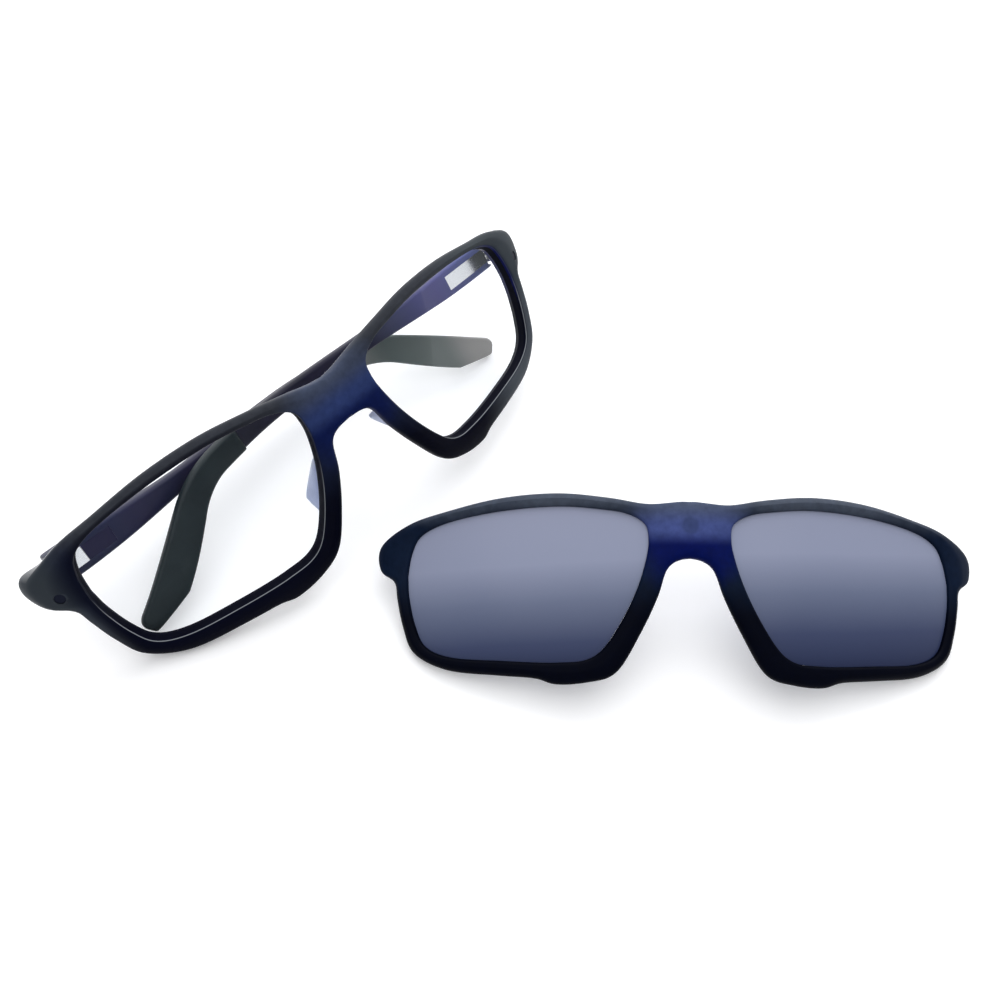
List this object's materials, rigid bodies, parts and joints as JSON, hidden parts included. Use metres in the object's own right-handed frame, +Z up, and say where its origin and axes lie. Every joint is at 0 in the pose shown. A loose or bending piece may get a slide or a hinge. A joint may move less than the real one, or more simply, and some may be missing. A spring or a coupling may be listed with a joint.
{
  "type": "square eyeglasses",
  "caption": "Wraparound square eyeglasses with folded spring-hinge temples, rubber tips and a matching magnetic sun clip-on front lying beside them.",
  "frame": {"origin": "centre of the bounding box on the table plane the set rests on", "axes": "+Z up; +X along the glasses' width, to the right as the front is seen; the glasses' front faces -Y and leans back"},
  "size_m": [0.1584, 0.1617, 0.0455],
  "materials": {
    "frame_plastic": "satin, dark navy",
    "clip_plastic": "satin, dark navy",
    "temple_plastic": "satin, translucent navy and purple",
    "temple_rubber": "matte, dark green-black",
    "clear_lens": "clear, polished",
    "sun_lens": "grey-blue, polished, darker towards its lower edge",
    "pad_silicone": "translucent, bluish",
    "hinge_steel": "bright",
    "magnet_steel": "dark nickel"
  },
  "bodies": {
    "front": {"front_frame": "frame_plastic", "lens_right": "clear_lens", "lens_left": "clear_lens", "nose_pad_right": "pad_silicone", "nose_pad_left": "pad_silicone", "hinge_leaf_right": "hinge_steel", "hinge_leaf_left": "hinge_steel", "hinge_screw_right": "hinge_steel", "hinge_screw_left": "hinge_steel", "magnet_right": "magnet_steel", "magnet_left": "magnet_steel", "magnet_bridge": "magnet_steel"},
    "slider_right": {"hinge_slider_right": "hinge_steel", "slider_nut_right": "hinge_steel"},
    "temple_right": {"temple_arm_right": "temple_plastic", "temple_tip_right": "temple_rubber", "spring_case_right": "hinge_steel", "hinge_spring_right": "hinge_steel"},
    "slider_left": {"hinge_slider_left": "hinge_steel", "slider_nut_left": "hinge_steel"},
    "temple_left": {"temple_arm_left": "temple_plastic", "temple_tip_left": "temple_rubber", "spring_case_left": "hinge_steel", "hinge_spring_left": "hinge_steel"},
    "clip": {"clip_frame": "clip_plastic", "sun_lens_right": "sun_lens", "sun_lens_left": "sun_lens", "clip_magnet_right": "magnet_steel", "clip_magnet_left": "magnet_steel", "clip_magnet_bridge": "magnet_steel"}
  },
  "joints": [
    {"name": "temple_right_fold", "type": "hinge", "parent": "front", "child": "slider_right", "pos_m": [0.06239, 0.0689, 0.02613], "axis": [0.0834, -0.5072, -0.8578], "range_deg": [0, 87.2]},
    {"name": "temple_right_spring", "type": "slide", "parent": "slider_right", "child": "temple_right", "axis": [-0.9937, 0.0226, -0.11], "range_m": [0, 0.0015], "stiffness_N_per_m": 2000, "springref_m": -0.0005},
    {"name": "temple_left_fold", "type": "hinge", "parent": "front", "child": "slider_left", "pos_m": [-0.07262, 0.0689, 0.01905], "axis": [0.0212, 0.5064, 0.862], "range_deg": [0, 82.5]},
    {"name": "temple_left_spring", "type": "slide", "parent": "slider_left", "child": "temple_left", "axis": [0.9943, 0.0791, -0.0709], "range_m": [0, 0.0015], "stiffness_N_per_m": 2000, "springref_m": -0.0005},
    {"name": "clip_lift", "type": "slide", "parent": "front", "child": "clip", "axis": [0, 0, 1], "range_m": [0, 0.06]}
  ]
}
